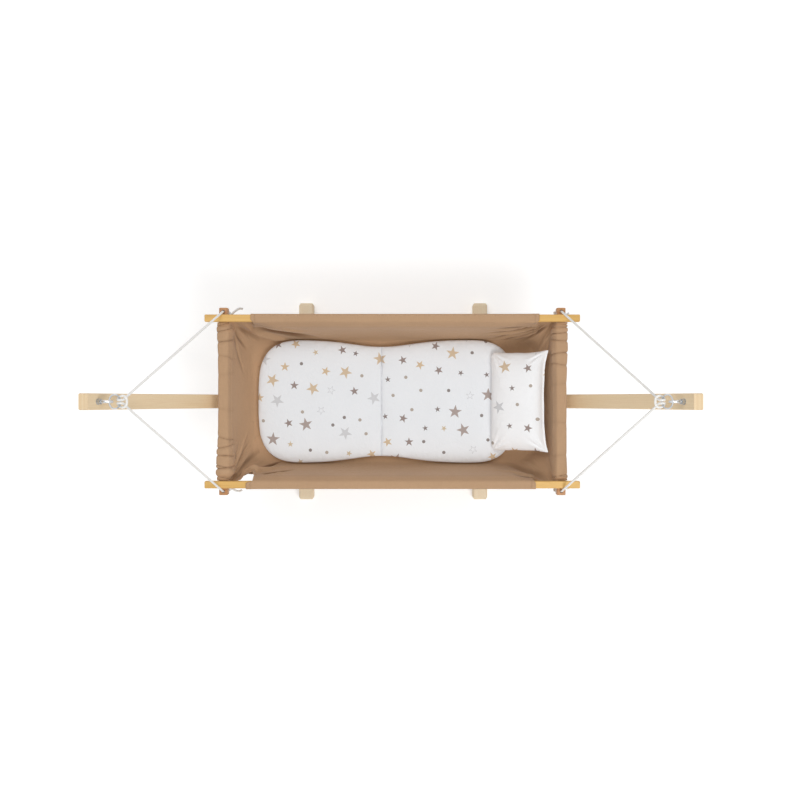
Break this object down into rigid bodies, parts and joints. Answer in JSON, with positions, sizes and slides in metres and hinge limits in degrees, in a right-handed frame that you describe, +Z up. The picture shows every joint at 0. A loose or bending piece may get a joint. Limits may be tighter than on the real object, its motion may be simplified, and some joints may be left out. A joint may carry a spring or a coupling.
{
  "type": "baby hammock",
  "caption": "Cloth cradle on a wooden frame, hung by ropes from the tips of a bent-wood bow on cross feet, with a mattress and a pillow.",
  "frame": {"origin": "on the floor, under the middle of the bow", "axes": "+X along the bow towards the pillow, +Y across it towards the back rail, +Z up"},
  "size_m": [1.475, 0.626, 0.7394],
  "materials": {
    "bow_wood": "satin clear varnish, pale laminated wood",
    "golden_wood": "satin clear varnish, golden wood",
    "red_wood": "plain wood, redder",
    "zinc": "zinc plated",
    "rope_cotton": "white braided cord",
    "brown_cotton": "plain woven cotton",
    "white_cotton": "white cotton printed with small stars and dots"
  },
  "bodies": {
    "stand": {"bow_half_right": "bow_wood", "bow_half_left": "bow_wood", "foot_right": "bow_wood", "foot_left": "bow_wood", "foot_bolt_right": "zinc", "foot_bolt_left": "zinc", "foot_head_washer_right": "zinc", "foot_head_washer_left": "zinc", "foot_nut_washer_right": "zinc", "foot_nut_washer_left": "zinc", "foot_nut_right": "zinc", "foot_nut_left": "zinc", "lap_bolt_right": "zinc", "lap_bolt_left": "zinc", "lap_sleeve_nut_right": "zinc", "lap_sleeve_nut_left": "zinc", "eye_bolt_right": "zinc", "eye_bolt_left": "zinc", "eye_inner_washer_right": "zinc", "eye_inner_washer_left": "zinc", "eye_inner_nut_right": "zinc", "eye_inner_nut_left": "zinc", "eye_outer_washer_right": "zinc", "eye_outer_washer_left": "zinc", "eye_outer_nut_right": "zinc", "eye_outer_nut_left": "zinc"},
    "cradle": {"ring_right": "zinc", "ring_left": "zinc", "rope_right": "rope_cotton", "rope_left": "rope_cotton", "cross_bar_right": "red_wood", "cross_bar_left": "red_wood", "rail_back": "golden_wood", "rail_front": "golden_wood", "frame_screw_right_a": "zinc", "frame_screw_left_a": "zinc", "frame_screw_right_b": "zinc", "frame_screw_left_b": "zinc", "sling": "brown_cotton"},
    "mattress": {"mattress": "white_cotton"},
    "pillow": {"pillow": "white_cotton"}
  },
  "joints": [
    {"name": "swing", "type": "hinge", "parent": "stand", "child": "cradle", "pos_m": [0, 0, 0.7], "axis": [1, 0, 0], "range_deg": [-20, 20]},
    {"name": "mattress_lift", "type": "slide", "parent": "cradle", "child": "mattress", "axis": [0, 0, 1], "range_m": [0, 0.25]},
    {"name": "pillow_lift", "type": "slide", "parent": "mattress", "child": "pillow", "axis": [0, 0, 1], "range_m": [0, 0.2]}
  ]
}
